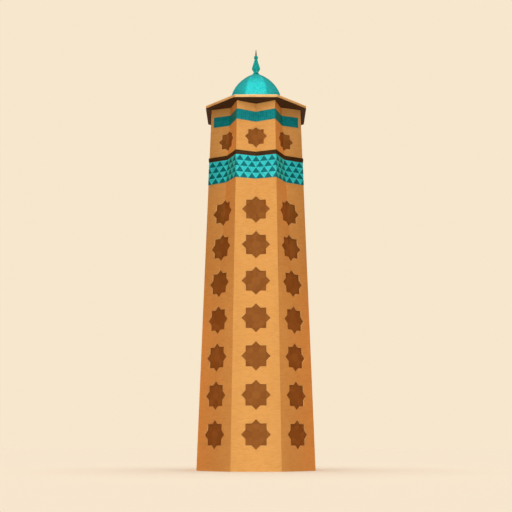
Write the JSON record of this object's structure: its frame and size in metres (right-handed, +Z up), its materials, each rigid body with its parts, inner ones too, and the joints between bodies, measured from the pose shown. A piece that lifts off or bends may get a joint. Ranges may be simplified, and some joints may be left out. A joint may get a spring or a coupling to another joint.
{
  "type": "minaret",
  "caption": "Tapering eight-sided brick minaret: faces fold in near the top, star inlays, glazed bands, wide cornice, eight-sided turquoise dome, finial.",
  "frame": {"origin": "on the ground, on the tower's axis", "axes": "+Z up along the axis, -Y out of the middle of face 1, the front"},
  "size_m": [8.1948, 8.1948, 32.07],
  "materials": {
    "brick": "buff fired brick, matt",
    "terracotta": "brown terracotta, matt",
    "dark_brick": "dark brown brick, matt",
    "mosaic_tile": "turquoise and dark teal triangles, glazed",
    "teal_tile": "dark teal tiles, glazed",
    "dark_wood": "dark stained boards",
    "pale_stone": "light tan, matt",
    "dome_tile": "turquoise tiles, glazed",
    "finial_glaze": "turquoise, glazed",
    "bronze": "brown patina"
  },
  "bodies": {
    "root": {"shaft_wall_1": "brick", "shaft_wall_2": "brick", "shaft_wall_3": "brick", "shaft_wall_4": "brick", "shaft_wall_5": "brick", "shaft_wall_6": "brick", "shaft_wall_7": "brick", "shaft_wall_8": "brick", "shaft_stars_1": "terracotta", "shaft_stars_2": "terracotta", "shaft_stars_3": "terracotta", "shaft_stars_4": "terracotta", "shaft_stars_5": "terracotta", "shaft_stars_6": "terracotta", "shaft_stars_7": "terracotta", "shaft_stars_8": "terracotta", "upper_wall_1": "brick", "upper_wall_2": "brick", "upper_wall_3": "brick", "upper_wall_4": "brick", "upper_wall_5": "brick", "upper_wall_6": "brick", "upper_wall_7": "brick", "upper_wall_8": "brick", "upper_star_1": "terracotta", "upper_star_2": "terracotta", "upper_star_3": "terracotta", "upper_star_4": "terracotta", "upper_star_5": "terracotta", "upper_star_6": "terracotta", "upper_star_7": "terracotta", "upper_star_8": "terracotta", "mosaic_band": "mosaic_tile", "string_course": "dark_brick", "teal_band": "teal_tile", "cornice_soffit": "dark_wood", "cornice_slab": "pale_stone", "roof_deck": "pale_stone", "dome_drum": "brick", "dome_shell": "dome_tile", "finial_spindle": "finial_glaze", "finial_ball": "finial_glaze", "finial_spike": "bronze"}
  },
  "joints": []
}
